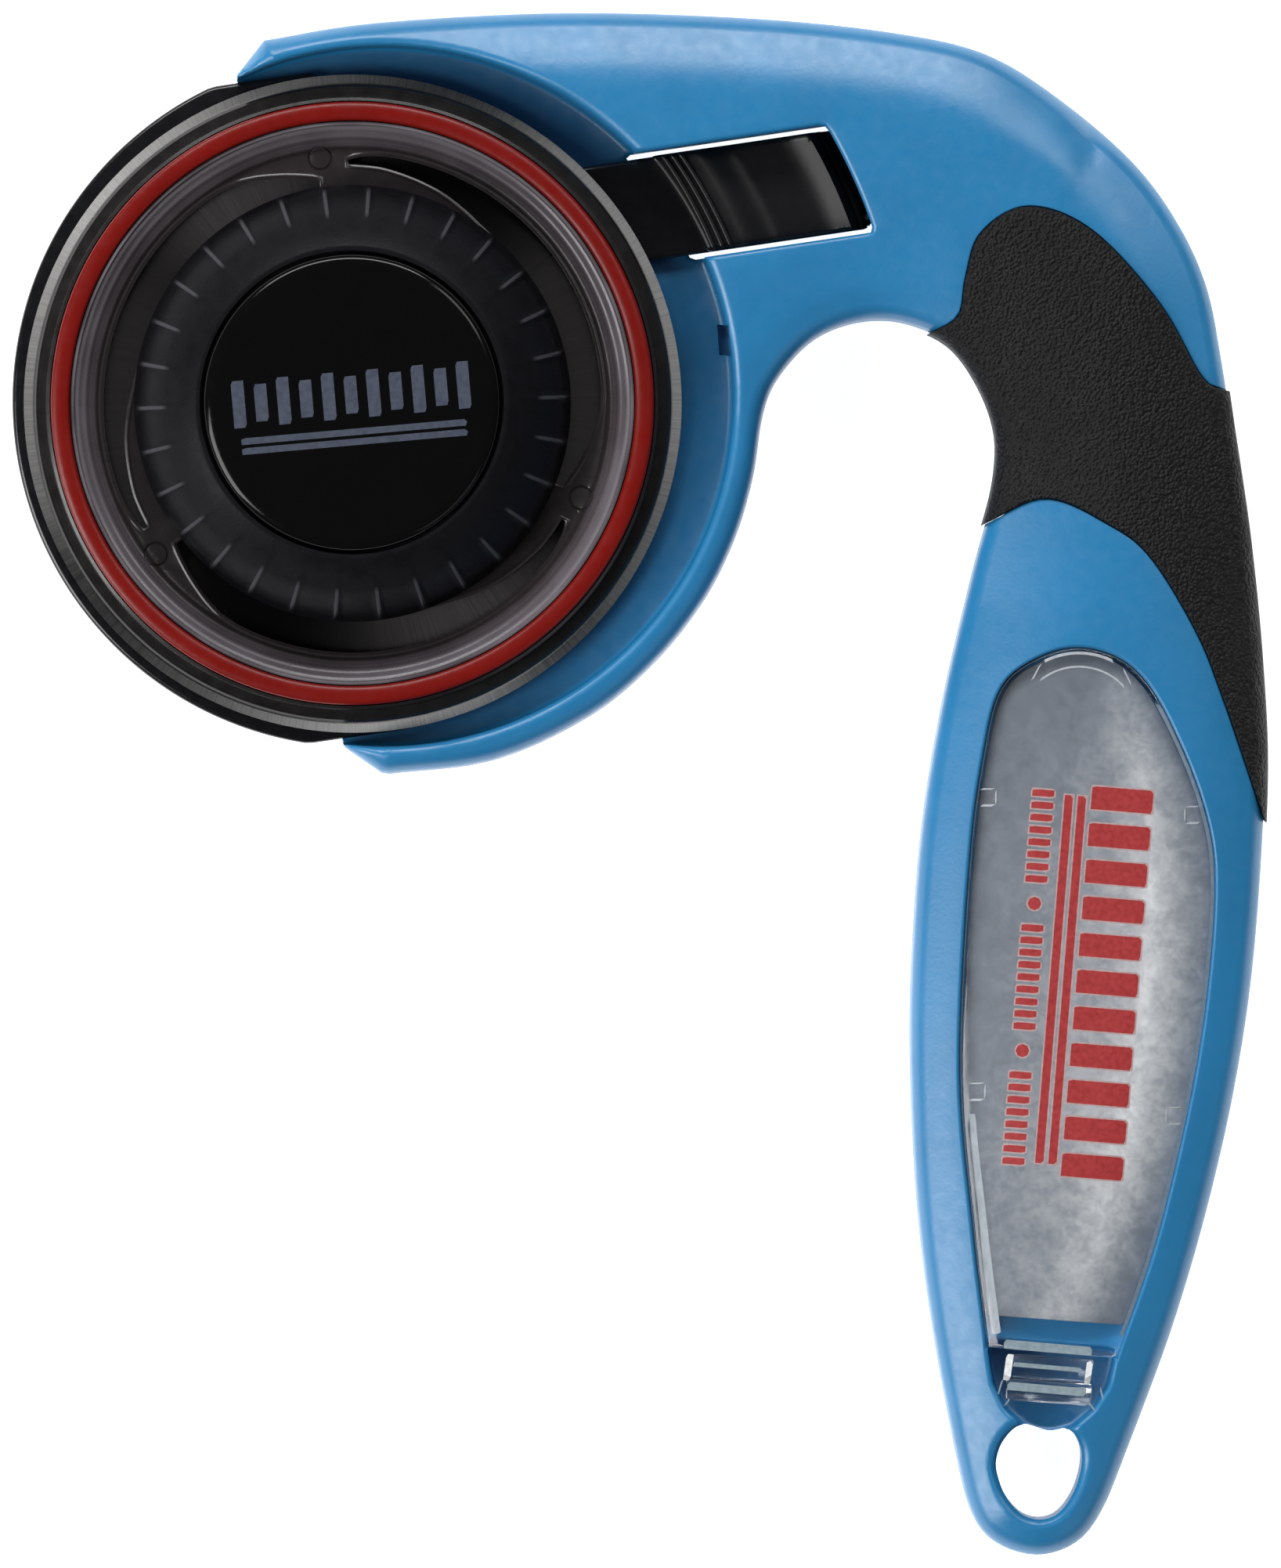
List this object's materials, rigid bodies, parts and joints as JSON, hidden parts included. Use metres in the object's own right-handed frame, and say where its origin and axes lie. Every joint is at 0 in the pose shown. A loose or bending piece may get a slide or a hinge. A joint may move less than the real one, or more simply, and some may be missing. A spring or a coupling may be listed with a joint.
{
  "type": "rotary cutter",
  "caption": "Rotary cloth cutter with a hooked handle, round blade, sliding blade guard, clear guide disc with a raised ring, clamping knob and a lidded compartment in the handle.",
  "frame": {"origin": "centre of the cutter's box in plan, on the surface that it lies on", "axes": "+Z is the blade's axle direction, towards the knob; +Y runs from the hang hole up to the head; +X runs from the blade towards the handle"},
  "size_m": [0.1146, 0.1408, 0.028],
  "materials": {
    "blue_plastic": "satin moulded plastic, mid blue",
    "soft_grip": "fine pebbled soft-touch rubber, black",
    "black_plastic": "glossy black moulding",
    "knob_plastic": "semi-gloss black moulding",
    "cap_plastic": "glossy black",
    "smoke_clear": "smoke-grey clear plastic, polished",
    "red_ring": "red semi-gloss",
    "clear_plastic": "clear plastic, polished",
    "card": "pale grey mottled card",
    "blade_steel": "ground tool steel",
    "plated_steel": "zinc plated steel",
    "brass": "turned brass"
  },
  "bodies": {
    "body": {"front_shell": "blue_plastic", "back_shell": "blue_plastic", "front_grip": "soft_grip", "back_grip": "soft_grip", "case_screw_1": "plated_steel", "case_screw_2": "plated_steel", "case_screw_3": "plated_steel", "case_screw_4": "plated_steel", "blade_bolt": "plated_steel", "detent_spring": "plated_steel"},
    "guard": {"guard_plate": "black_plastic", "front_thumb_slide": "black_plastic", "rear_thumb_slide": "black_plastic"},
    "cutting_blade": {"blade": "blade_steel"},
    "guide": {"guide_disc": "smoke_clear", "guide_ring": "red_ring"},
    "clamp": {"keyed_washer": "plated_steel", "spring_washer": "plated_steel"},
    "clamping_knob": {"knob": "knob_plastic", "knob_cap": "cap_plastic", "thread_insert": "brass"},
    "compartment_lid": {"storage_lid": "clear_plastic", "label_card": "card"},
    "latch": {"lid_latch": "clear_plastic"}
  },
  "joints": [
    {"name": "guard_slide", "type": "slide", "parent": "body", "child": "guard", "axis": [0.9893, 0.1461, 0], "range_m": [0, 0.006]},
    {"name": "blade_spin", "type": "hinge", "parent": "body", "child": "cutting_blade", "pos_m": [-0.02625, 0.03468, 0.01515], "axis": [0, 0, 1], "continuous": true},
    {"name": "guide_spin", "type": "hinge", "parent": "body", "child": "guide", "pos_m": [-0.02625, 0.03468, 0.0163], "axis": [0, 0, 1], "continuous": true},
    {"name": "clamp_lift", "type": "slide", "parent": "body", "child": "clamp", "axis": [0, 0, 1], "range_m": [0, 0.003]},
    {"name": "knob_turn", "type": "hinge", "parent": "clamp", "child": "clamping_knob", "pos_m": [-0.02625, 0.03468, 0.022], "axis": [0, 0, 1], "range_deg": [0, 1080]},
    {"name": "lid_hinge", "type": "hinge", "parent": "body", "child": "compartment_lid", "pos_m": [0.0399, 0.0116, 0.0217], "axis": [-1, 0, 0], "range_deg": [0, 75]},
    {"name": "latch_flex", "type": "hinge", "parent": "compartment_lid", "child": "latch", "pos_m": [0.0374, -0.05215, 0.0212], "axis": [1, 0, 0], "range_deg": [0, 5], "stiffness_Nm_per_rad": 0.05}
  ],
  "couplings": [
    {"joint": "knob_turn", "follows": "clamp_lift", "rad_per_m": 6283}
  ]
}
